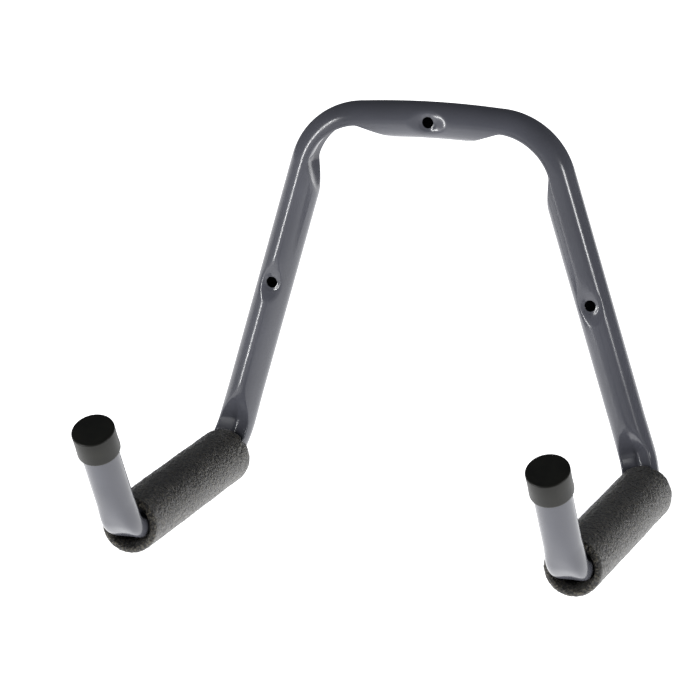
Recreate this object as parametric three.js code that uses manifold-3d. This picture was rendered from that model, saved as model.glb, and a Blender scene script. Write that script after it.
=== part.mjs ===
// Wall hanger bent from one steel tube: an inverted U that is screwed to the wall, two arms that
// come forward in foam sleeves, and two tips that turn up and end in push-on caps.
// Millimetres: +X to the right, +Y into the wall, +Z up. The origin lies on the wall plane, behind
// the middle of the top screw hole. The right half is worked out and the left half mirrors it.

import * as THREE from "three";
import { mergeVertices } from "three/addons/utils/BufferGeometryUtils.js";
import Module from "manifold-3d";

const wasm = await Module();
wasm.setup();

// Tube stock and its bends
const tubeDia = 22;
const tubeWall = 1.5;
const cornerRadius = 38; // of the tube's axis at the two top bends
const bendRadius = 24; // of the tube's axis where the arms and the tips start

// Frame on the wall, between the corners where straight stretches of the axis would meet
const topHalfSpan = 70;
const footHalfSpan = 134;
const frameHeight = 215;
const barRise = 4.7; // how far the gently arched top bar peaks above its corners

// Arms and tips, from corner to corner
const armLength = 172;
const armRise = 1.3; // degrees above level
const armSplay = 0; // degrees outward
const tipLength = 82; // to the tube's cut end
const tipRise = 59.5; // degrees above level

// Screw holes, drilled from front to back through a dimple pressed into the front wall
const holeDia = 7;
const sideHoleHeight = 113.5; // above the foot corner
const dimpleDia = 20; // across its mouth, along the tube
const dimpleDepth = 2.5;
const seatWidth = 0.8; // flat ring around the hole, where the screw head bears
const lipInset = 0.05; // the dimple's wall ends this far inside the tube's outer surface

// Pressed bends. The inner wall is pressed in by innerIn and dips by innerDip along its middle, the
// outer wall by outerIn and outerDip, and each side bulges by bulge. The recess has its full depth
// for core each way from the middle of the bend and runs out at reach.
const cornerPress = {
  innerIn: 8.8, innerDip: 3.5, outerIn: 0, outerDip: 0, bulge: 0, core: 22, reach: 41,
};
const footPress = {
  innerIn: 4.2, innerDip: 7, outerIn: 0, outerDip: 0, bulge: 0.3, core: 20, reach: 37,
};
const tipPress = {
  innerIn: 6, innerDip: 1.5, outerIn: 3.4, outerDip: 0.9, bulge: 0.9, core: 6, reach: 24,
};

// Foam sleeves
const foamWall = 6.25;
const foamStart = 6; // from the foot corner, tucked into the pressed recess of the bend
const foamFrontGap = 6.5; // short of the front corner
const foamEdge = 2; // rounding of the cut ends
const foamClearance = 0.4;

// End caps
const capWall = 1.4;
const capTop = 2;
const capSkirt = 15; // how far the cap reaches down the tube
const capEdge = 1.2;
const fitClearance = 0.3;

// Fineness
const tubeSides = 24;
const roundSides = 28;
const holeSides = 20;
const pressedStep = 6.5;
const straightStep = 32;

const tubeRadius = tubeDia / 2;
const boreRadius = tubeRadius - tubeWall;
const axisY = -tubeRadius; // the back of the tube lies on the wall plane

function aim(splay, rise) {
  const across = THREE.MathUtils.degToRad(splay);
  const up = THREE.MathUtils.degToRad(rise);
  return new THREE.Vector3(
    Math.sin(across) * Math.cos(up),
    -Math.cos(across) * Math.cos(up),
    Math.sin(up),
  );
}

// The arch of the top bar: a wide arc through the middle half of the bar
const barSlope = Math.atan2(barRise, topHalfSpan);
const barRadius = (0.5 * topHalfSpan) / Math.tan(barSlope);
const archDrop = barRadius * (1 / Math.cos(barSlope) - 1);
const cornerZ = archDrop - barRise; // puts the top screw hole, on the arch's middle, at z = 0

const armAim = aim(armSplay, armRise);
const tipAim = aim(armSplay, tipRise);
const corner = new THREE.Vector3(topHalfSpan, axisY, cornerZ);
const foot = new THREE.Vector3(footHalfSpan, axisY, cornerZ - frameHeight);
const front = foot.clone().addScaledVector(armAim, armLength);
const tipEnd = front.clone().addScaledVector(tipAim, tipLength);

// The tube's axis from the middle of the top bar to one tip: straights and arcs in turn, each
// carrying its start, its heading and the direction that began as +Y.
class TubeAxis {
  constructor(start, heading, side) {
    this.pieces = [];
    this.length = 0;
    this.end = { point: start, heading, side };
  }

  straightTo(target) {
    const length = target.clone().sub(this.end.point).dot(this.end.heading);
    this.append({ length, radius: Infinity });
  }

  bendTowards(heading, radius) {
    const hinge = this.end.heading.clone().cross(heading).normalize();
    const angle = this.end.heading.angleTo(heading);
    const inward = hinge.clone().cross(this.end.heading);
    const centre = this.end.point.clone().addScaledVector(inward, radius);
    return this.append({ length: radius * angle, radius, hinge, centre });
  }

  append(piece) {
    piece.from = this.length;
    piece.start = this.end;
    this.length += piece.length;
    this.pieces.push(piece);
    this.end = this.at(this.length);
    return piece;
  }

  at(distance) {
    const piece = this.pieces.findLast((p) => p.from <= distance) ?? this.pieces[0];
    const along = distance - piece.from;
    const { point, heading, side } = piece.start;
    if (piece.radius === Infinity) {
      return { point: point.clone().addScaledVector(heading, along), heading, side };
    }
    const turn = new THREE.Quaternion().setFromAxisAngle(piece.hinge, along / piece.radius);
    return {
      point: point.clone().sub(piece.centre).applyQuaternion(turn).add(piece.centre),
      heading: heading.clone().applyQuaternion(turn),
      side: side.clone().applyQuaternion(turn),
    };
  }

  // From a point on the axis towards the inside of a bend, also past the bend's ends
  inwardAt(distance, bend) {
    const nearest = THREE.MathUtils.clamp(distance, bend.from, bend.from + bend.length);
    return bend.centre.clone().sub(this.at(nearest).point).normalize();
  }
}

function towards(from, to) {
  return to.clone().sub(from).normalize();
}

// The point where a bend at this corner has to start
function bendStart(before, at, after, radius) {
  const halfTurn = towards(before, at).angleTo(towards(at, after)) / 2;
  return at.clone().addScaledVector(towards(at, before), radius * Math.tan(halfTurn));
}

const crown = new THREE.Vector3(0, axisY, 0);
const apex = new THREE.Vector3(0, axisY, cornerZ + barRise);
const axis = new TubeAxis(crown, new THREE.Vector3(1, 0, 0), new THREE.Vector3(0, 1, 0));
axis.bendTowards(towards(apex, corner), barRadius);
axis.straightTo(bendStart(apex, corner, foot, cornerRadius));
const cornerBend = axis.bendTowards(towards(corner, foot), cornerRadius);
axis.straightTo(bendStart(corner, foot, front, bendRadius));
const footBend = axis.bendTowards(armAim, bendRadius);
axis.straightTo(bendStart(foot, front, tipEnd, bendRadius));
const tipBend = axis.bendTowards(tipAim, bendRadius);
axis.straightTo(tipEnd);

const presses = [
  { bend: cornerBend, ...cornerPress },
  { bend: footBend, ...footPress },
  { bend: tipBend, ...tipPress },
];

// How far from the axis the wall may stand, v to the side of the bend's plane
function pressedLimit(pressedIn, dip, ease, v) {
  const limit = tubeRadius - pressedIn * (1 - ease);
  const edge = tubeRadius ** 2 - limit ** 2; // of the flattened part, squared
  const share = edge > 0 ? Math.max(0, 1 - v ** 2 / edge) : 0;
  return limit - dip * (1 - ease) * share;
}

function distanceFromMiddle(distance, bend) {
  return Math.abs(distance - bend.from - bend.length / 2);
}

// Where a point of the straight stock ends up once the stock is bent and its bends are pressed.
// layer is how far the point's wall surface lies outside the tube's outer surface, and dips is 1
// for the tube's own shape or 0 for a skin that bridges its dips.
function bentPoint(distance, angle, radius, layer, dips) {
  const half = Math.abs(distance);
  const { point, heading, side } = axis.at(half);
  const across = heading.clone().cross(side);
  const offset = side.clone().multiplyScalar(radius * Math.cos(angle));
  offset.addScaledVector(across, radius * Math.sin(angle));
  for (const press of presses) {
    const spread = distanceFromMiddle(half, press.bend);
    if (spread < press.reach) {
      const ease = Math.max(0, (spread - press.core) / (press.reach - press.core));
      const inward = axis.inwardAt(half, press.bend);
      const depth = offset.dot(inward);
      const sideways = heading.clone().cross(inward);
      const v = offset.dot(sideways);
      const innerLimit = pressedLimit(press.innerIn, dips * press.innerDip, ease, v) + layer;
      const outerLimit = pressedLimit(press.outerIn, dips * press.outerDip, ease, v) + layer;
      const pressed = THREE.MathUtils.clamp(depth, -outerLimit, innerLimit);
      offset.addScaledVector(inward, pressed - depth);
      offset.addScaledVector(sideways, (press.bulge * (1 - ease) * v) / tubeRadius);
    }
  }
  const result = point.add(offset);
  if (distance < 0) {
    result.x *= -1;
  }
  return result;
}

// Distances along the axis where the tube has a ring of points: close together where it is pressed
function ringDistances() {
  const half = [0];
  while (half.at(-1) < axis.length - 1) {
    const here = half.at(-1);
    const near = presses.map((p) => distanceFromMiddle(here, p.bend) - p.reach);
    const toPress = Math.min(...near);
    const step = toPress > 0 ? Math.min(straightStep, Math.max(toPress, pressedStep)) : pressedStep;
    half.push(Math.min(here + step, axis.length));
  }
  half[half.length - 1] = axis.length;
  return [...half.slice(1).reverse().map((d) => -d), ...half];
}

// Straight stock turned as a lathe shape around its length, then bent. hollow stock has a bore.
function bentStock(layer, hollow, dips) {
  const rings = ringDistances();
  const radius = tubeRadius + layer;
  const outline = rings.map((d) => new THREE.Vector2(radius, d));
  if (hollow) {
    outline.push(...rings.toReversed().map((d) => new THREE.Vector2(boreRadius, d)));
    outline.push(outline[0].clone());
  } else {
    outline.unshift(new THREE.Vector2(0, rings[0]));
    outline.push(new THREE.Vector2(0, rings.at(-1)));
  }
  const stock = new THREE.LatheGeometry(outline, tubeSides);
  const positions = stock.attributes.position;
  for (let i = 0; i < positions.count; i++) {
    const distance = positions.getY(i);
    const angle = Math.atan2(positions.getX(i), positions.getZ(i));
    const reach = Math.hypot(positions.getX(i), positions.getZ(i));
    const inBore = hollow && reach < (boreRadius + radius) / 2;
    const place = bentPoint(distance, angle, reach, inBore ? -tubeWall : layer, dips);
    positions.setXYZ(i, place.x, place.y, place.z);
  }
  return stock;
}

function solidOf(geometry) {
  const bare = geometry.clone();
  bare.deleteAttribute("normal");
  bare.deleteAttribute("uv");
  const merged = mergeVertices(bare);
  const index = merged.index.array;
  const triangles = [];
  for (let i = 0; i < index.length; i += 3) {
    const [a, b, c] = [index[i], index[i + 1], index[i + 2]];
    if (a !== b && b !== c && c !== a) {
      triangles.push(a, b, c);
    }
  }
  return new wasm.Manifold(
    new wasm.Mesh({
      numProp: 3,
      vertProperties: new Float32Array(merged.attributes.position.array),
      triVerts: new Uint32Array(triangles),
    }),
  );
}

function geometryOf(solid) {
  const mesh = solid.getMesh();
  const geometry = new THREE.BufferGeometry();
  geometry.setAttribute("position", new THREE.BufferAttribute(mesh.vertProperties, 3));
  geometry.setIndex(new THREE.BufferAttribute(mesh.triVerts, 1));
  return geometry;
}

// Screw holes: the top one on the arch's middle, the side ones on the legs' axes
const sideShare = sideHoleHeight / frameHeight;
const sideHole = foot.clone().lerp(corner, sideShare);
const holePlaces = [crown, sideHole, new THREE.Vector3(-sideHole.x, sideHole.y, sideHole.z)];

function roundBar(radius, length, sides) {
  return new THREE.CylinderGeometry(radius, radius, length, sides);
}

// The floor of a dimple from its flat seat out to its mouth, as distance from the hole's axis and
// y from the tube's axis. The punch that presses it has a rounded nose.
function dimpleFloor() {
  const seatRadius = holeDia / 2 + seatWidth;
  const mouthRadius = dimpleDia / 2;
  return [0, 0.25, 0.5, 0.75, 1].map((share) => {
    const r = THREE.MathUtils.lerp(seatRadius, mouthRadius, share);
    const fall = (mouthRadius ** 2 - r ** 2) / (mouthRadius ** 2 - seatRadius ** 2);
    return [r, dimpleDepth * fall - tubeRadius];
  });
}

function turned(outline, sides) {
  return new THREE.LatheGeometry(outline.map(([r, y]) => new THREE.Vector2(r, y)), sides);
}

// The space that a dimple takes out of the round tube
function dimpleSpace() {
  const floor = dimpleFloor();
  const outside = -tubeDia;
  const outline = [[0, outside], [dimpleDia / 2, outside], ...floor.toReversed(), [0, floor[0][1]]];
  return turned(outline, holeSides);
}

// The wall of a dimple, one wall thick under its floor and round the screw hole
function dimpleWall() {
  const floor = dimpleFloor();
  const under = floor.map(([r, y]) => [r, y + tubeWall]);
  const holeRadius = holeDia / 2;
  const start = [holeRadius, floor[0][1]];
  const outline = [start, ...floor, ...under.toReversed(), [holeRadius, under[0][1]], start];
  return turned(outline, holeSides);
}

function frameTube() {
  const stock = solidOf(bentStock(-lipInset, false, 1));
  let tube = solidOf(bentStock(0, true, 1));
  for (const place of holePlaces) {
    const { x, y, z } = place;
    const space = solidOf(dimpleSpace().translate(x, y, z));
    const wall = solidOf(dimpleWall().translate(x, y, z)).intersect(stock);
    const drill = solidOf(roundBar(holeDia / 2, 2 * tubeDia, holeSides).translate(x, y, z));
    tube = tube.subtract(space).add(wall).subtract(drill);
  }
  return geometryOf(tube);
}

// A turned shape whose y axis is laid along an aim, starting at a point
function laidAlong(geometry, aimed, start) {
  const turn = new THREE.Quaternion().setFromUnitVectors(new THREE.Vector3(0, 1, 0), aimed);
  return geometry.applyQuaternion(turn).translate(start.x, start.y, start.z);
}

function roundedCorner(centreX, centreY, radius, fromDegrees) {
  return [0, 30, 60, 90].map((step) => {
    const angle = THREE.MathUtils.degToRad(fromDegrees + step);
    return new THREE.Vector2(centreX + radius * Math.cos(angle), centreY + radius * Math.sin(angle));
  });
}

// A sleeve is made with a bore of the tube's own size, and is then stretched to clear the bent tube
// on its side, right for side 1 and left for side -1. It bridges the dips in the pressed bends.
function foamSleeve(side) {
  const radius = tubeRadius + foamWall;
  const length = armLength - foamFrontGap - foamStart;
  const inset = radius - foamEdge;
  const outline = [
    new THREE.Vector2(0, 0),
    ...roundedCorner(inset, foamEdge, foamEdge, -90),
    ...roundedCorner(inset, length - foamEdge, foamEdge, 0),
    new THREE.Vector2(0, length),
  ];
  const start = foot.clone().addScaledVector(armAim, foamStart);
  const block = solidOf(laidAlong(new THREE.LatheGeometry(outline, roundSides), armAim, start));
  const bore = laidAlong(roundBar(tubeRadius, 4 * length, roundSides), armAim, start);
  const sleeve = block.subtract(solidOf(bore));
  const placed = side < 0 ? sleeve.mirror([1, 0, 0]) : sleeve;
  return geometryOf(placed.subtract(solidOf(bentStock(foamClearance, false, 0))));
}

function endCap() {
  const inside = tubeRadius + fitClearance;
  const outside = inside + capWall;
  const top = fitClearance + capTop;
  const outline = [
    new THREE.Vector2(0, fitClearance),
    new THREE.Vector2(inside, fitClearance),
    new THREE.Vector2(inside, -capSkirt),
    ...roundedCorner(outside - capWall / 2, capWall / 2 - capSkirt, capWall / 2, -90),
    ...roundedCorner(outside - capEdge, top - capEdge, capEdge, 0),
    new THREE.Vector2(0, top),
  ];
  return laidAlong(new THREE.LatheGeometry(outline, roundSides), tipAim, tipEnd);
}

// The same shape on the other side, with its faces still pointing out
function mirrored(geometry) {
  const copy = geometry.clone().scale(-1, 1, 1);
  const index = copy.index.array;
  for (let i = 0; i < index.length; i += 3) {
    [index[i], index[i + 1]] = [index[i + 1], index[i]];
  }
  return copy;
}

const paint = new THREE.MeshStandardMaterial({ color: 0x5c5c66, roughness: 0.22, metalness: 0.1 });
const foam = new THREE.MeshStandardMaterial({ color: 0x2c2a2b, roughness: 0.95, metalness: 0 });
const vinyl = new THREE.MeshStandardMaterial({ color: 0x23231f, roughness: 0.55, metalness: 0 });

const hanger = new THREE.Group();

function addPiece(name, geometry, material) {
  const piece = new THREE.Mesh(geometry, material);
  piece.name = name;
  hanger.add(piece);
}

const cap = endCap();
addPiece("frame_tube", frameTube(), paint);
addPiece("foam_sleeve_right", foamSleeve(1), foam);
addPiece("foam_sleeve_left", foamSleeve(-1), foam);
addPiece("end_cap_right", cap, vinyl);
addPiece("end_cap_left", mirrored(cap), vinyl);

export default hanger;
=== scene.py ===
"""The looks of a wall hanger bent from one steel tube, with foam on its arms and caps on its tips.

The tube is a sheet rolled round the bent axis, pressed at its bends and dimpled at its screw
holes. The foam sleeves and the end caps are turned. The pieces are worked out in millimetres and
finished in metres, and the left half of the hanger mirrors the right half.
"""

import math

import bmesh
import bpy
from mathutils import Matrix, Quaternion, Vector, noise


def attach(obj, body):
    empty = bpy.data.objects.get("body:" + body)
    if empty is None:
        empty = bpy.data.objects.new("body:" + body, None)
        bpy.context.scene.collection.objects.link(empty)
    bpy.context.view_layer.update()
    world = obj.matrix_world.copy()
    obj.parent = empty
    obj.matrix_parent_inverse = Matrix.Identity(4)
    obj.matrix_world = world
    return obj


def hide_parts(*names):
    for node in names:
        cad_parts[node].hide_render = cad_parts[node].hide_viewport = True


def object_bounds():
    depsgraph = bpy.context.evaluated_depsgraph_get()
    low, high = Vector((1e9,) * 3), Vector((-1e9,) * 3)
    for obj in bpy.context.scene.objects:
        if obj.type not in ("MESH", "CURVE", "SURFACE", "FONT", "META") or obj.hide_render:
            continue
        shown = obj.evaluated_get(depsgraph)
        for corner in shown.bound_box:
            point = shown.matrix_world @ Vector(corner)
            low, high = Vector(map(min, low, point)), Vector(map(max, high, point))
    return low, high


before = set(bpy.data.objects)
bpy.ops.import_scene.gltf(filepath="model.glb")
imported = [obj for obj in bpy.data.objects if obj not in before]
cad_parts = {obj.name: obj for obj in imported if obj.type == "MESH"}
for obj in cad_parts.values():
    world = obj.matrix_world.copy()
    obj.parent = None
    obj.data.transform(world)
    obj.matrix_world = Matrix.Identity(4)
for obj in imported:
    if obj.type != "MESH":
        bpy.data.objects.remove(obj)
cad_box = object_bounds()

MM = 0.001

# The bent tube, as it was made
TUBE_RADIUS = 11.0
TUBE_WALL = 1.5
CORNER_RADIUS = 38.0
BEND_RADIUS = 24.0
TOP_HALF_SPAN = 70.0
FOOT_HALF_SPAN = 134.0
FRAME_HEIGHT = 215.0
BAR_RISE = 4.7
ARM_LENGTH = 172.0
ARM_RISE = 1.3
ARM_SPLAY = 0.0
TIP_LENGTH = 82.0
TIP_RISE = 59.5

# Screw holes and the dimples around them, each with a small step down to the screw's seat. Points
# of a hole's edge up to HOLE_ROUNDING outside it are brought onto its circle.
HOLE_RADIUS = 3.5
HOLE_ROUNDING = 1.5
DIMPLE_RADIUS = 10.0
DIMPLE_DEPTH = 2.7
DIMPLE_SOFTNESS = 1.1
SEAT_RADIUS = 4.5
SEAT_EDGE = 1.0
SEAT_STEP = 0.35
SIDE_HOLE_HEIGHT = 113.5

# Pressed bends: how far each wall is pressed in, how much it dips along its middle and how far the
# sides bulge. The recess keeps its full depth for core each way from the middle of the bend and
# runs out at reach; the dip is whole at dip_core and starts at dip_reach. A creased dip is a valley
# with straight sides, and the others are round. The ridge is how soft the edge of the recess is.
CORNER_PRESS = {
    "inner_in": 8.8, "inner_dip": 3.5, "outer_in": 0.0, "outer_dip": 0.0, "bulge": 0.0,
    "core": 22.0, "reach": 41.0, "dip_core": 20.0, "dip_reach": 40.0,
    "creased": False, "ridge": 0.6,
}
FOOT_PRESS = {
    "inner_in": 4.2, "inner_dip": 7.0, "outer_in": 0.0, "outer_dip": 0.0, "bulge": 0.3,
    "core": 20.0, "reach": 37.5, "dip_core": 18.0, "dip_reach": 35.5,
    "creased": True, "ridge": 0.6,
}
TIP_PRESS = {
    "inner_in": 6.0, "inner_dip": 1.5, "outer_in": 3.4, "outer_dip": 0.9, "bulge": 0.9,
    "core": 6.0, "reach": 24.0, "dip_core": 4.0, "dip_reach": 20.0,
    "creased": False, "ridge": 2.0,
}
RUN_SOFTNESS = 0.08
CREASE_WIDTH = 1.1

# How finely the rolled tube follows its shape: sides round it, and steps along it near a dimple,
# near a press and on a plain straight. A press or a dimple is worked out up to TAIL past its edge.
# An edge that folds by more than TUBE_FOLD degrees stays sharp.
TUBE_SIDES = 96
DIMPLE_STEP = 0.8
DIMPLE_MARGIN = 3.0
PRESS_STEP = 1.7
PRESS_MARGIN = 2.0
STRAIGHT_STEP = 5.0
TAIL = 12.0
TUBE_FOLD = 55.0

# Foam sleeves, and the grain of their skin as (width, height) of its cells, pores and slow waves.
# GRAIN_SHIFT makes the grain of the two sleeves differ.
FOAM_RADIUS = 17.25
FOAM_BORE = 11.4
FOAM_FLARE = 1.5
FOAM_FLARE_LENGTH = 14.0
FOAM_START = 6.0
FOAM_END = 165.5
FOAM_EDGE = 2.6
FOAM_LIP = 1.0
FOAM_SKIN = 0.9
FOAM_GRAIN = [(1.9, 0.27), (1.0, 0.13), (26.0, 0.22)]
GRAIN_SHIFT = Vector((7.3, 3.1, 0))

# The solid copy of the steel that cuts the foam clear of the bends
CUTTER_ROOM = 0.15
CUTTER_LEAD = 45.0
CUTTER_ROWS = 110
CUTTER_SIDES = 64

# End caps: a slightly crowned top, a rounded rim, a faint waist and a swollen lip. An edge that
# folds by more than CAP_FOLD degrees stays sharp.
CAP_INSIDE = 11.3
CAP_OUTSIDE = 12.7
CAP_TOP = 2.3
CAP_UNDERSIDE = 0.3
CAP_CROWN = 0.25
CAP_CROWN_AT = (4.0, 8.0)
CAP_RIM_DROP = 0.2
CAP_EDGE = 1.1
CAP_SKIRT = 15.0
CAP_WAIST = 0.12
CAP_WAIST_AT = 0.45
CAP_LIP_SWELL = 0.05
CAP_LIP_LENGTH = 1.6
CAP_FOLD = 70.0

# Sides of everything that is turned
ROUND_SIDES = 96


def smooth_min(a, b, softness):
    """The lower of two heights, rounded where they come within twice the softness."""
    blend = max(0.0, 1 - abs(a - b) / (2 * softness))
    return min(a, b) - softness * blend * blend / 2


def aim(splay, rise):
    """The way out from the wall, turned sideways by splay and up by rise, in degrees."""
    across = math.radians(splay)
    up = math.radians(rise)
    return Vector((
        math.sin(across) * math.cos(up),
        -math.cos(across) * math.cos(up),
        math.sin(up),
    ))


BAR_SLOPE = math.atan2(BAR_RISE, TOP_HALF_SPAN)
BAR_RADIUS = 0.5 * TOP_HALF_SPAN / math.tan(BAR_SLOPE)
CORNER_Z = BAR_RADIUS * (1 / math.cos(BAR_SLOPE) - 1) - BAR_RISE
AXIS_Y = -TUBE_RADIUS
ARM_AIM = aim(ARM_SPLAY, ARM_RISE)
TIP_AIM = aim(ARM_SPLAY, TIP_RISE)
CROWN = Vector((0, AXIS_Y, 0))
APEX = Vector((0, AXIS_Y, CORNER_Z + BAR_RISE))
CORNER = Vector((TOP_HALF_SPAN, AXIS_Y, CORNER_Z))
FOOT = Vector((FOOT_HALF_SPAN, AXIS_Y, CORNER_Z - FRAME_HEIGHT))
FRONT = FOOT + ARM_AIM * ARM_LENGTH
TIP_END = FRONT + TIP_AIM * TIP_LENGTH
SIDE_HOLE = FOOT.lerp(CORNER, SIDE_HOLE_HEIGHT / FRAME_HEIGHT)
HOLES = [CROWN, SIDE_HOLE]


class TubeAxis:
    """Straights and arcs in turn, each with its start, its heading and the side that began as +Y."""

    def __init__(self, start, heading, side):
        self.pieces = []
        self.length = 0.0
        self.end = (start, heading, side)

    def append(self, length, radius=None, hinge=None, centre=None):
        piece = {"from": self.length, "length": length, "radius": radius, "hinge": hinge,
                 "centre": centre, "start": self.end}
        self.pieces.append(piece)
        self.length += length
        self.end = self.at(self.length)
        return piece

    def straight_to(self, target):
        start, heading, _ = self.end
        return self.append((target - start).dot(heading))

    def bend_towards(self, heading, radius):
        start, before, _ = self.end
        hinge = before.cross(heading).normalized()
        centre = start + hinge.cross(before) * radius
        return self.append(radius * before.angle(heading), radius, hinge, centre)

    def at(self, distance):
        """The point, the heading and the side of the axis at a distance along it."""
        piece = [p for p in self.pieces if p["from"] <= distance][-1]
        along = distance - piece["from"]
        start, heading, side = piece["start"]
        if piece["radius"] is None:
            return start + heading * along, heading, side
        turn = Quaternion(piece["hinge"], along / piece["radius"])
        return piece["centre"] + turn @ (start - piece["centre"]), turn @ heading, turn @ side

    def inward_at(self, distance, bend):
        """The way to the middle of a bend, from the point of the bend nearest to a distance."""
        nearest = min(max(distance, bend["from"]), bend["from"] + bend["length"])
        return (bend["centre"] - self.at(nearest)[0]).normalized()


def towards(start, end):
    return (end - start).normalized()


def bend_start(before, at, after, radius):
    """Where a bend of a radius starts, on the way from one corner point to the next."""
    half_turn = towards(before, at).angle(towards(at, after)) / 2
    return at + towards(at, before) * radius * math.tan(half_turn)


def make_axis():
    """The right half of the tube's middle line, with its leg, its foot bend and its presses."""
    axis = TubeAxis(CROWN, Vector((1, 0, 0)), Vector((0, 1, 0)))
    axis.bend_towards(towards(APEX, CORNER), BAR_RADIUS)
    axis.straight_to(bend_start(APEX, CORNER, FOOT, CORNER_RADIUS))
    corner_bend = axis.bend_towards(towards(CORNER, FOOT), CORNER_RADIUS)
    leg = axis.straight_to(bend_start(CORNER, FOOT, FRONT, BEND_RADIUS))
    foot_bend = axis.bend_towards(ARM_AIM, BEND_RADIUS)
    axis.straight_to(bend_start(FOOT, FRONT, TIP_END, BEND_RADIUS))
    tip_bend = axis.bend_towards(TIP_AIM, BEND_RADIUS)
    axis.straight_to(TIP_END)
    presses = [
        dict(CORNER_PRESS, bend=corner_bend),
        dict(FOOT_PRESS, bend=foot_bend),
        dict(TIP_PRESS, bend=tip_bend),
    ]
    return axis, leg, foot_bend, presses


AXIS, LEG, FOOT_BEND, PRESSES = make_axis()


def from_middle(distance, bend):
    return abs(distance - bend["from"] - bend["length"] / 2)


def soft_ramp(spread, start, end):
    """Zero up to start, one at end and rising beyond it, with a rounded start."""
    x = (spread - start) / (end - start)
    return 0.5 * (x + math.sqrt(x * x + RUN_SOFTNESS**2))


def pressed_limit(pressed_in, dip, run, v, creased):
    """How far from the axis a pressed wall may stand, v to the side of the bend's plane."""
    limit = TUBE_RADIUS - pressed_in * (1 - run)
    edge = TUBE_RADIUS**2 - min(limit, TUBE_RADIUS) ** 2
    if edge <= 0:
        return limit
    if creased:
        share = 1 - (math.hypot(v, CREASE_WIDTH) - CREASE_WIDTH) / math.sqrt(edge)
    else:
        share = 1 - v * v / edge
    return limit - dip * max(0.0, share)


def dimple_floor(r, layer):
    """How far a dimple's dish stands in front of the axis, at r from the middle of its hole."""
    dish = TUBE_RADIUS - DIMPLE_DEPTH * (1 - (r / DIMPLE_RADIUS) ** 2) + layer
    share = min(1.0, max(0.0, (SEAT_RADIUS + SEAT_EDGE - r) / SEAT_EDGE))
    return dish - SEAT_STEP * share * share * (3 - 2 * share)


class Ring:
    """The section of the bent tube at one distance along its axis."""

    def __init__(self, distance):
        self.flip = distance < 0
        half = abs(distance)
        self.point, self.heading, self.side = AXIS.at(half)
        self.across = self.heading.cross(self.side)
        self.presses = []
        for press in PRESSES:
            spread = from_middle(half, press["bend"])
            if spread < press["reach"] + TAIL:
                run = soft_ramp(spread, press["core"], press["reach"])
                dip = max(0.0, 1 - soft_ramp(spread, press["dip_core"], press["dip_reach"]))
                inward = AXIS.inward_at(half, press["bend"])
                self.presses.append((press, run, dip, inward, self.heading.cross(inward)))
        self.holes = [h for h in HOLES if (h - self.point).length < DIMPLE_RADIUS + TAIL]

    def place(self, angle, layer=0.0):
        """A point of the tube's surface, layer outside its paint."""
        radius = TUBE_RADIUS + layer
        offset = self.side * (radius * math.cos(angle)) + self.across * (radius * math.sin(angle))
        for press, run, dip, inward, sideways in self.presses:
            depth = offset.dot(inward)
            v = offset.dot(sideways)
            way = "inner" if depth > 0 else "outer"
            if press[way + "_in"] > 0:
                limit = pressed_limit(press[way + "_in"], press[way + "_dip"] * dip, run, v,
                                      press["creased"]) + layer
                pressed = math.copysign(smooth_min(abs(depth), limit, press["ridge"]), depth)
                offset += inward * (pressed - depth)
            offset += sideways * (press["bulge"] * max(0.0, 1 - run) * v / TUBE_RADIUS)
        spot = self.point + offset
        for hole in self.holes:
            front = AXIS_Y - spot.y
            if front > 0:
                r = math.hypot(spot.x - hole.x, spot.z - hole.z)
                spot.y = AXIS_Y - smooth_min(front, dimple_floor(r, layer), DIMPLE_SOFTNESS)
        if self.flip:
            spot.x = -spot.x
        return spot


def ring_distances():
    """Distances along the tube, close together where it is pressed or dimpled."""
    holes = [0.0, LEG["from"] + (SIDE_HOLE - LEG["start"][0]).length]
    half = [0.0]
    while half[-1] < AXIS.length:
        here = half[-1]
        to_hole = min(abs(here - h) for h in holes) - DIMPLE_RADIUS - DIMPLE_MARGIN
        to_press = min(from_middle(here, p["bend"]) - p["reach"] - PRESS_MARGIN for p in PRESSES)
        step = STRAIGHT_STEP
        if to_hole < 0:
            step = DIMPLE_STEP
        elif to_press < 0:
            step = PRESS_STEP
        half.append(min(here + step, AXIS.length))
    return [-d for d in reversed(half[1:])] + half


def finish_piece(bm, name, material, scale=MM):
    """Turns a bmesh into an object whose place is in its mesh, in metres."""
    bmesh.ops.scale(bm, vec=Vector((scale,) * 3), verts=bm.verts)
    mesh = bpy.data.meshes.new(name)
    bm.to_mesh(mesh)
    bm.free()
    mesh.materials.append(material)
    shade_smooth(mesh)
    piece = bpy.data.objects.new(name, mesh)
    bpy.context.scene.collection.objects.link(piece)
    return piece


def shade_smooth(mesh):
    for polygon in mesh.polygons:
        polygon.use_smooth = True


def apply_modifiers(piece):
    """Keeps what the modifiers make as the piece's own mesh."""
    graph = bpy.context.evaluated_depsgraph_get()
    made = bpy.data.meshes.new_from_object(piece.evaluated_get(graph))
    made.name = piece.data.name
    piece.modifiers.clear()
    piece.data = made


def declare(piece, node):
    """Stands the piece in for its CAD node, which it hides, and puts it on the root body."""
    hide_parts(node)
    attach(piece, "root")


def rolled_sheet(distances, sides, layer=0.0):
    """A flat sheet of quads rolled round the axis, one row of points for each distance."""
    bm = bmesh.new()
    rows = len(distances) - 1
    bmesh.ops.create_grid(bm, x_segments=sides, y_segments=rows, size=0.5)
    rings = [Ring(d) for d in distances]
    for vert in bm.verts:
        ring = rings[round((vert.co.y + 0.5) * rows)]
        angle = 2 * math.pi * (vert.co.x + 0.5)
        vert.co = ring.place(angle, layer)
    bmesh.ops.remove_doubles(bm, verts=bm.verts, dist=1e-4)
    bmesh.ops.recalc_face_normals(bm, faces=bm.faces)
    return bm


def all_holes():
    for hole in HOLES:
        yield hole
        if hole.x:
            yield Vector((-hole.x, hole.y, hole.z))


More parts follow.
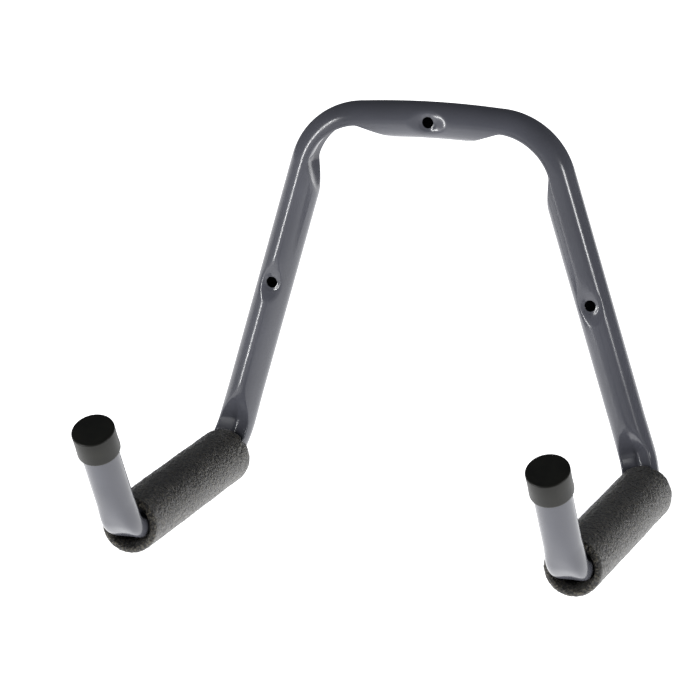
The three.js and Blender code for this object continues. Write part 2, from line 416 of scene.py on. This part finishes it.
def pierce(bm):
    """Opens the screw holes through the front and the back wall and makes their edges round."""
    for hole in all_holes():
        inside = []
        for face in bm.faces:
            middle = face.calc_center_median()
            if math.hypot(middle.x - hole.x, middle.z - hole.z) < HOLE_RADIUS:
                inside.append(face)
        bmesh.ops.delete(bm, geom=inside, context="FACES")
        for vert in bm.verts:
            sideways = Vector((vert.co.x - hole.x, 0, vert.co.z - hole.z))
            if sideways.length < HOLE_RADIUS + HOLE_ROUNDING and vert.is_boundary:
                vert.co += sideways.normalized() * (HOLE_RADIUS - sideways.length)


def frame_tube(material):
    """The whole tube: a rolled and pierced sheet, given the steel's wall inwards."""
    bm = rolled_sheet(ring_distances(), TUBE_SIDES)
    pierce(bm)
    tube = finish_piece(bm, "bent_tube", material)
    wall = tube.modifiers.new("wall", "SOLIDIFY")
    wall.thickness = TUBE_WALL * MM
    wall.offset = -1
    apply_modifiers(tube)
    tube.data.set_sharp_from_angle(angle=math.radians(TUBE_FOLD))
    declare(tube, "frame_tube")


def arc(centre_r, centre_y, radius, start, end, steps=6):
    """Points of a turned outline, as distance from its axis and height along it."""
    points = []
    for step in range(steps + 1):
        angle = math.radians(start + (end - start) * step / steps)
        points.append((centre_r + radius * math.cos(angle), centre_y + radius * math.sin(angle)))
    return points


def turned(outline, closed):
    """A shape turned round the z axis from an outline of (distance from the axis, height)."""
    bm = bmesh.new()
    verts = [bm.verts.new((r, 0, y)) for r, y in outline]
    pairs = list(zip(verts, verts[1:]))
    if closed:
        pairs.append((verts[-1], verts[0]))
    edges = [bm.edges.new(pair) for pair in pairs]
    bmesh.ops.spin(bm, geom=verts + edges, axis=(0, 0, 1), cent=(0, 0, 0), angle=2 * math.pi,
                   steps=ROUND_SIDES, use_merge=True)
    bmesh.ops.remove_doubles(bm, verts=bm.verts, dist=1e-4)
    bmesh.ops.recalc_face_normals(bm, faces=bm.faces)
    return bm


def lay(bm, aimed, start):
    """Lays the z axis of a turned shape along an aim, from a starting point."""
    turn = Vector((0, 0, 1)).rotation_difference(aimed).to_matrix().to_4x4()
    bmesh.ops.transform(bm, matrix=Matrix.Translation(start) @ turn, verts=bm.verts)


def mirror_to(side, bm):
    """Everything is made on the right. For the left it is mirrored, with its faces outwards again."""
    if side == "left":
        bmesh.ops.scale(bm, vec=(-1, 1, 1), verts=bm.verts)
        bmesh.ops.recalc_face_normals(bm, faces=bm.faces)


def foam_outline():
    """A sleeve's wall in section: round edges outside, lips inside and a flared front mouth."""
    length = FOAM_END - FOAM_START
    inset = FOAM_RADIUS - FOAM_EDGE
    lip = FOAM_BORE + FOAM_LIP
    mouth = lip + FOAM_FLARE
    outline = arc(inset, FOAM_EDGE, FOAM_EDGE, -90, 0)
    outline += arc(inset, length - FOAM_EDGE, FOAM_EDGE, 0, 90)
    outline += arc(mouth, length - FOAM_LIP, FOAM_LIP, 90, 180, 3)
    outline += [(FOAM_BORE, length - FOAM_FLARE_LENGTH)]
    outline += arc(lip, FOAM_LIP, FOAM_LIP, 180, 270, 3)
    return outline


def steel_cutter(side, material):
    """The bent steel as a solid with a little room round it."""
    far = AXIS.length
    near = FOOT_BEND["from"] - CUTTER_LEAD
    distances = [near + (far - near) * i / CUTTER_ROWS for i in range(CUTTER_ROWS + 1)]
    stock = rolled_sheet(distances, CUTTER_SIDES, CUTTER_ROOM)
    bmesh.ops.holes_fill(stock, edges=[e for e in stock.edges if e.is_boundary], sides=0)
    bmesh.ops.recalc_face_normals(stock, faces=stock.faces)
    mirror_to(side, stock)
    return finish_piece(stock, "steel_in_foam", material)


def grain_foam(sleeve, seed):
    """Raises the foam's skin in soft cells and lets its outline waver a little."""
    shift = GRAIN_SHIFT * seed
    mesh = sleeve.data
    normals = [v.normal.copy() for v in mesh.vertices]
    for vert, normal in zip(mesh.vertices, normals):
        spot = vert.co / MM
        raised = sum(high * noise.noise(spot / wide + shift) for wide, high in FOAM_GRAIN)
        vert.co += normal * raised * MM
    shade_smooth(mesh)


def foam_sleeve(side, material):
    """A foam tube: turned, cut to clear the steel that bends out of it, and remeshed to one skin."""
    bm = turned(foam_outline(), True)
    lay(bm, ARM_AIM, FOOT + ARM_AIM * FOAM_START)
    mirror_to(side, bm)
    sleeve = finish_piece(bm, "foam_" + side, material)

    cutter = steel_cutter(side, material)
    cut = sleeve.modifiers.new("clear", "BOOLEAN")
    cut.operation = "DIFFERENCE"
    cut.solver = "EXACT"
    cut.object = cutter
    skin = sleeve.modifiers.new("skin", "REMESH")
    skin.mode = "VOXEL"
    skin.voxel_size = FOAM_SKIN * MM
    skin.use_smooth_shade = True
    relax = sleeve.modifiers.new("relax", "SMOOTH")
    relax.factor = 0.5
    relax.iterations = 4
    apply_modifiers(sleeve)
    bpy.data.objects.remove(cutter)
    grain_foam(sleeve, 1 if side == "left" else 2)
    declare(sleeve, "foam_sleeve_" + side)


def end_cap(side, material):
    """A dipped vinyl cap: a flat top with a soft rim, and a skirt that ends in a rounded lip."""
    wall = CAP_OUTSIDE - CAP_INSIDE
    outline = [(0, CAP_TOP)]
    outline += [(r, CAP_TOP - CAP_CROWN * (r / CAP_OUTSIDE) ** 2) for r in CAP_CROWN_AT]
    outline += arc(CAP_OUTSIDE - CAP_EDGE, CAP_TOP - CAP_EDGE - CAP_RIM_DROP, CAP_EDGE, 90, 0)
    outline += [
        (CAP_OUTSIDE - CAP_WAIST, -CAP_SKIRT * CAP_WAIST_AT),
        (CAP_OUTSIDE + CAP_LIP_SWELL, CAP_LIP_LENGTH - CAP_SKIRT),
    ]
    outline += arc(CAP_OUTSIDE - wall / 2, wall / 2 - CAP_SKIRT, wall / 2, 0, -180, 8)
    outline += [(CAP_INSIDE, -CAP_SKIRT * 0.5), (CAP_INSIDE, CAP_UNDERSIDE), (0, CAP_UNDERSIDE)]
    bm = turned(outline, False)
    lay(bm, TIP_AIM, TIP_END)
    mirror_to(side, bm)
    cap = finish_piece(bm, "cap_" + side, material)
    cap.data.set_sharp_from_angle(angle=math.radians(CAP_FOLD))
    declare(cap, "end_cap_" + side)


def linear(hex_colour):
    """An sRGB hex colour as the linear values that shaders take."""
    values = [int(hex_colour[i:i + 2], 16) / 255 for i in (1, 3, 5)]
    parts = [v / 12.92 if v <= 0.04045 else ((v + 0.055) / 1.055) ** 2.4 for v in values]
    return (*parts, 1.0)


def add_node(tree, kind, settings=None, links=None):
    """Adds a node, sets its properties, inputs or colour stops by name, and links sockets to it."""
    node = tree.nodes.new(kind)
    for name, value in (settings or {}).items():
        if name == "stops":
            elements = node.color_ramp.elements
            elements[0].position, elements[0].color = value[0]
            elements[1].position, elements[1].color = value[-1]
            for position, colour in value[1:-1]:
                elements.new(position).color = colour
        elif hasattr(node, name):
            setattr(node, name, value)
        else:
            node.inputs[name].default_value = value
    for name, socket in (links or {}).items():
        tree.links.new(socket, node.inputs[name])
    return node


def new_material(name):
    """An empty material, its node tree and the object's own coordinates in it."""
    material = bpy.data.materials.new(name)
    material.use_nodes = True
    tree = material.node_tree
    tree.nodes.clear()
    return material, tree, add_node(tree, "ShaderNodeTexCoord").outputs["Object"]


def gloss_powder_coat():
    """Powder coat, sprayed and baked: glossy, with a faint orange-peel ripple and handling marks."""
    material, tree, place = new_material("gloss_powder_coat")
    # Drifts of slightly thicker and thinner coat, about 40 mm wide
    tone = add_node(tree, "ShaderNodeTexNoise",
                    {"Scale": 1 / (40 * MM), "Detail": 2.0}, {"Vector": place})
    colour = add_node(tree, "ShaderNodeValToRGB",
                      {"stops": [(0.3, linear("#53545b")), (0.7, linear("#5a5b63"))]},
                      {"Fac": tone.outputs["Fac"]})
    # Handling marks, about 18 mm wide, where the gloss is duller
    smudge = add_node(tree, "ShaderNodeTexNoise",
                      {"Scale": 1 / (18 * MM), "Detail": 4.0}, {"Vector": place})
    gloss = add_node(tree, "ShaderNodeMapRange",
                     {"From Min": 0.3, "From Max": 0.75, "To Min": 0.14, "To Max": 0.21},
                     {"Value": smudge.outputs["Fac"]})
    # Orange peel, drawn 5 mm wide so that it shows
    peel = add_node(tree, "ShaderNodeTexNoise",
                    {"Scale": 1 / (5 * MM), "Detail": 1.0}, {"Vector": place})
    bump = add_node(tree, "ShaderNodeBump", {"Strength": 0.02, "Distance": 0.12 * MM},
                    {"Height": peel.outputs["Fac"]})
    shader = add_node(tree, "ShaderNodeBsdfPrincipled", {"IOR": 1.52},
                      {"Base Color": colour.outputs["Color"], "Roughness": gloss.outputs["Result"],
                       "Normal": bump.outputs["Normal"]})
    add_node(tree, "ShaderNodeOutputMaterial", links={"Surface": shader.outputs["BSDF"]})
    return material


def closed_cell_foam():
    """Extruded rubber foam: a dark satin skin of small cells, with their raised rims painted pale as
    painted glints.
    """
    material, tree, place = new_material("closed_cell_foam")
    # Cells about 1.4 mm wide
    grain = add_node(tree, "ShaderNodeTexNoise",
                     {"Scale": 1 / (1.4 * MM), "Detail": 2.0, "Roughness": 0.6}, {"Vector": place})
    # The colour follows the cells' heights: darker in their hollows, and pale on their raised rims,
    # where the pale is a painted glint
    stops = [(0.38, linear("#0c0b09")), (0.51, linear("#221f1a")), (0.64, linear("#5d584b"))]
    colour = add_node(tree, "ShaderNodeValToRGB", {"stops": stops}, {"Fac": grain.outputs["Fac"]})
    bump = add_node(tree, "ShaderNodeBump", {"Strength": 1.0, "Distance": 1.5 * MM},
                    {"Height": grain.outputs["Fac"]})
    shader = add_node(tree, "ShaderNodeBsdfPrincipled",
                      {"Roughness": 0.36, "Sheen Weight": 0.15, "Sheen Roughness": 0.4},
                      {"Base Color": colour.outputs["Color"], "Normal": bump.outputs["Normal"]})
    add_node(tree, "ShaderNodeOutputMaterial", links={"Surface": shader.outputs["BSDF"]})
    return material


def dipped_vinyl():
    """Soft vinyl, dip-moulded: satin, olive black, with a faint cloudiness and a fine skin."""
    material, tree, place = new_material("dipped_vinyl")
    # Clouds about 9 mm wide
    cloud = add_node(tree, "ShaderNodeTexNoise",
                     {"Scale": 1 / (9 * MM), "Detail": 3.0}, {"Vector": place})
    colour = add_node(tree, "ShaderNodeValToRGB",
                      {"stops": [(0.3, linear("#151512")), (0.75, linear("#1f1f1a"))]},
                      {"Fac": cloud.outputs["Fac"]})
    # Ripples of the dipped skin, 0.8 mm wide
    skin = add_node(tree, "ShaderNodeTexNoise",
                    {"Scale": 1 / (0.8 * MM), "Detail": 2.0}, {"Vector": place})
    bump = add_node(tree, "ShaderNodeBump", {"Strength": 0.12, "Distance": 0.1 * MM},
                    {"Height": skin.outputs["Fac"]})
    shader = add_node(tree, "ShaderNodeBsdfPrincipled", {"Roughness": 0.42, "IOR": 1.36},
                      {"Base Color": colour.outputs["Color"], "Normal": bump.outputs["Normal"]})
    add_node(tree, "ShaderNodeOutputMaterial", links={"Surface": shader.outputs["BSDF"]})
    return material


# The studio, in metres: a pale table below the hanger that glows fully under and behind it and
# less in front of it, dim surroundings, and two upright strip lights
FLOOR_DROP = 0.6
FLOOR_SIZE = 60.0
TABLE_BRIGHTNESS = 1.6
TABLE_DIM = 0.4
TABLE_DIM_AT = -1.8
TABLE_FULL_AT = -0.2
STRIP_DISTANCE = 2.2
STRIP_CENTRE_Y = -0.1
CAMERA_PLACE = (0.7275, -2.2700, 0.5206)
CAMERA_TURN = (1.826, 0.2953, -0.241)
CAMERA_LENS = 209.73


def studio_floor():
    """A plain pale table that glows by itself, full below and behind, less in front."""
    material, tree, place = new_material("white_table")
    along = add_node(tree, "ShaderNodeSeparateXYZ", links={"Vector": place}).outputs["Y"]
    glow = add_node(tree, "ShaderNodeMapRange",
                    {"From Min": TABLE_DIM_AT, "From Max": TABLE_FULL_AT, "To Min": TABLE_DIM,
                     "To Max": TABLE_BRIGHTNESS}, {"Value": along})
    shader = add_node(tree, "ShaderNodeBsdfPrincipled",
                      {"Base Color": linear("#f4f4f4"), "Roughness": 0.9,
                       "Emission Color": linear("#ffffff")},
                      {"Emission Strength": glow.outputs["Result"]})
    add_node(tree, "ShaderNodeOutputMaterial", links={"Surface": shader.outputs["BSDF"]})
    bm = bmesh.new()
    bmesh.ops.create_grid(bm, x_segments=1, y_segments=1, size=FLOOR_SIZE / 2)
    bmesh.ops.translate(bm, vec=(0, 0, cad_box[0][2] - FLOOR_DROP), verts=bm.verts)
    finish_piece(bm, "studio_floor", material, 1.0)


def strip_light(name, azimuth, low, high, width, power):
    """An upright strip of light that faces the hanger. Azimuth 0 is straight in front of it."""
    data = bpy.data.lights.new(name, "AREA")
    data.shape = "RECTANGLE"
    data.size = width
    data.size_y = high - low
    data.energy = power
    angle = math.radians(azimuth)
    away = Vector((math.sin(angle), -math.cos(angle), 0))
    centre = Vector((0, STRIP_CENTRE_Y, (low + high) / 2))
    light = bpy.data.objects.new(name, data)
    light.location = centre + away * STRIP_DISTANCE
    light.rotation_euler = (-away).to_track_quat("-Z", "Y").to_euler()
    bpy.context.scene.collection.objects.link(light)


def surroundings():
    world = bpy.data.worlds.new("studio")
    world.use_nodes = True
    bpy.context.scene.world = world
    tree = world.node_tree
    tree.nodes.clear()
    dim = add_node(tree, "ShaderNodeBackground", {"Color": linear("#9fa3ab"), "Strength": 0.26})
    add_node(tree, "ShaderNodeOutputWorld", links={"Surface": dim.outputs["Background"]})


def camera():
    """Stands to the right of the hanger and looks down on it with a long lens."""
    data = bpy.data.cameras.new("camera")
    data.lens = CAMERA_LENS
    data.sensor_width = 36.0
    data.clip_end = 100.0
    eye = bpy.data.objects.new("camera", data)
    eye.location = CAMERA_PLACE
    turn = Vector(CAMERA_TURN)
    right, down, forward = Quaternion(turn.normalized(), turn.length).to_matrix()
    eye.matrix_world = Matrix((
        (right[0], -down[0], -forward[0], eye.location[0]),
        (right[1], -down[1], -forward[1], eye.location[1]),
        (right[2], -down[2], -forward[2], eye.location[2]),
        (0, 0, 0, 1),
    ))
    bpy.context.scene.collection.objects.link(eye)
    bpy.context.scene.camera = eye


paint = gloss_powder_coat()
foam = closed_cell_foam()
vinyl = dipped_vinyl()
frame_tube(paint)
for side in ("left", "right"):
    foam_sleeve(side, foam)
    end_cap(side, vinyl)

studio_floor()
surroundings()
strip_light("strip_left", azimuth=-41, low=-0.72, high=0.9, width=0.09, power=24)
strip_light("strip_right", azimuth=67, low=0.08, high=0.6, width=0.28, power=11)
camera()
bpy.context.scene.view_settings.view_transform = "Standard"
